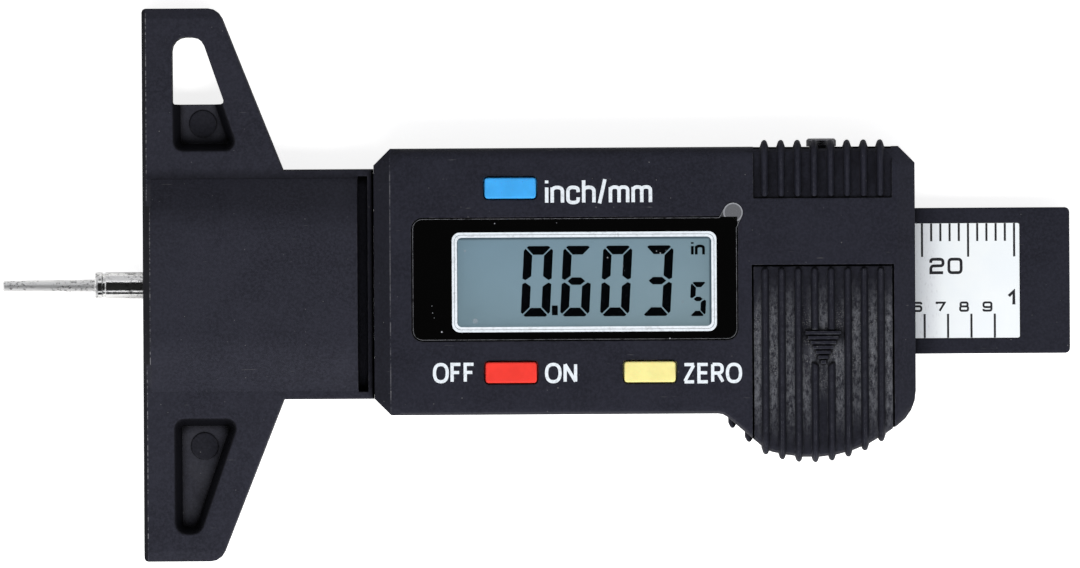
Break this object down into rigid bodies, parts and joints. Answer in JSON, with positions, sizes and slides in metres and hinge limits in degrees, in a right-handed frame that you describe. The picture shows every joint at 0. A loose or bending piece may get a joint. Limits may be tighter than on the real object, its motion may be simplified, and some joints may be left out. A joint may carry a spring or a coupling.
{
  "type": "depth caliper",
  "caption": "Digital depth caliper with a T-shaped base, a sliding scale bar with a stepped needle probe, a display window, coloured keys and a ribbed battery cover.",
  "frame": {"origin": "middle of the bounding box on the back plane, with the gauge lying on its back", "axes": "+X from the probe tip to the free end of the slide bar, +Y towards the wing with the lanyard hole, +Z out of the display"},
  "size_m": [0.116, 0.06, 0.013],
  "materials": {
    "shell_plastic": "fine satin moulded black",
    "cover_plastic": "satin black, scuffed between the ribs",
    "bar_plastic": "satin black",
    "strip": "etched strip",
    "label": "printed white film",
    "probe_steel": "turned and polished",
    "window": "polished",
    "film": "thin clear film",
    "display": "liquid crystal glass",
    "holder": "moulded",
    "contact_rubber": "soft",
    "board": "solder mask",
    "epoxy": "cast",
    "contact_metal": "nickel plated",
    "button_blue": "satin",
    "button_red": "satin",
    "button_yellow": "satin",
    "cell_steel": "drawn steel can",
    "gib_brass": "rolled strip",
    "screw_steel": "blackened steel"
  },
  "bodies": {
    "gauge_body": {"t_base": "shell_plastic", "front_housing": "shell_plastic", "rear_cover": "shell_plastic", "display_window": "window", "window_film": "film", "display_glass": "display", "display_holder": "holder", "contact_rubber": "contact_rubber", "circuit_board": "board", "chip_cover": "epoxy", "mode_dome": "contact_metal", "power_dome": "contact_metal", "zero_dome": "contact_metal", "button_cell": "cell_steel", "cell_spring": "contact_metal", "cell_side_contact": "contact_metal", "gib_strip": "gib_brass", "gib_screw": "screw_steel", "housing_screw_1": "screw_steel", "housing_screw_2": "screw_steel", "housing_screw_3": "screw_steel", "housing_screw_4": "screw_steel"},
    "bar": {"slide_bar": "bar_plastic", "stator_strip": "strip", "scale_label": "label", "depth_probe": "probe_steel", "stop_pin": "probe_steel"},
    "battery_door": {"battery_cover": "cover_plastic"},
    "mode_key": {"mode_button": "button_blue"},
    "power_key": {"power_button": "button_red"},
    "zero_key": {"zero_button": "button_yellow"}
  },
  "joints": [
    {"name": "bar_slide", "type": "slide", "parent": "gauge_body", "child": "bar", "axis": [-1, 0, 0], "range_m": [-0.0153, 0.0101]},
    {"name": "cover_slide", "type": "slide", "parent": "gauge_body", "child": "battery_door", "axis": [0, -1, 0], "range_m": [0, 0.022]},
    {"name": "mode_press", "type": "slide", "parent": "gauge_body", "child": "mode_key", "axis": [0, 0, -1], "range_m": [0, 0.0003], "stiffness_N_per_m": 1500, "springref_m": -0.0002},
    {"name": "power_press", "type": "slide", "parent": "gauge_body", "child": "power_key", "axis": [0, 0, -1], "range_m": [0, 0.0003], "stiffness_N_per_m": 1500, "springref_m": -0.0002},
    {"name": "zero_press", "type": "slide", "parent": "gauge_body", "child": "zero_key", "axis": [0, 0, -1], "range_m": [0, 0.0003], "stiffness_N_per_m": 1500, "springref_m": -0.0002}
  ]
}
